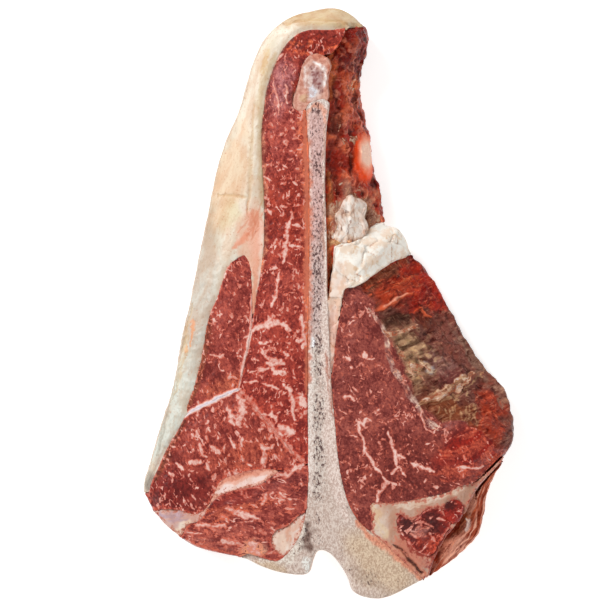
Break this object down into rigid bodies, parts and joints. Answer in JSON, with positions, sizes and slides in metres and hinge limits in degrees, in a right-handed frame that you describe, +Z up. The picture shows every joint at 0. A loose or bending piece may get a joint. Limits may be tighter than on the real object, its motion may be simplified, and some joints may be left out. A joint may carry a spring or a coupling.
{
  "type": "raw porterhouse steak",
  "caption": "Thick raw porterhouse steak lying on a cut face: T-shaped bone with marbled strip and tenderloin muscles, seams of fat, a fat cap and white kidney fat.",
  "frame": {"origin": "on the table, under the middle of the steak's bounding box", "axes": "+Z up through the thickness, +Y from the sawn backbone to the tail end, +X from the fat cap to the tenderloin side"},
  "size_m": [0.1638, 0.2616, 0.0363],
  "materials": {
    "bone": "sawn cancellous bone, matt, speckled with marrow",
    "gristle": "pale cartilage, moist",
    "lean": "raw marbled beef muscle, moist satin",
    "dark_lean": "darker raw beef muscle, moist satin",
    "dry_side": "dried outer membrane and dark side meat, glossy in places",
    "cap_fat": "firm cream-white fat, satin",
    "pink_fat": "pinkish soft fat between the muscles, satin",
    "suet": "crumbly white kidney fat, matt"
  },
  "bodies": {
    "root": {"t_bone": "bone", "bone_tip": "gristle", "tail_muscle": "lean", "eye_muscle": "lean", "side_muscle": "lean", "chine_fat": "pink_fat", "chine_muscle": "dark_lean", "chain_round": "dark_lean", "chain_muscle": "dark_lean", "side_lining": "dry_side", "tenderloin": "dark_lean", "suet": "suet", "upper_suet": "suet", "flank_lining": "dry_side", "seam_fat": "pink_fat", "chain_fat": "pink_fat", "fat_cap": "cap_fat"}
  },
  "joints": []
}
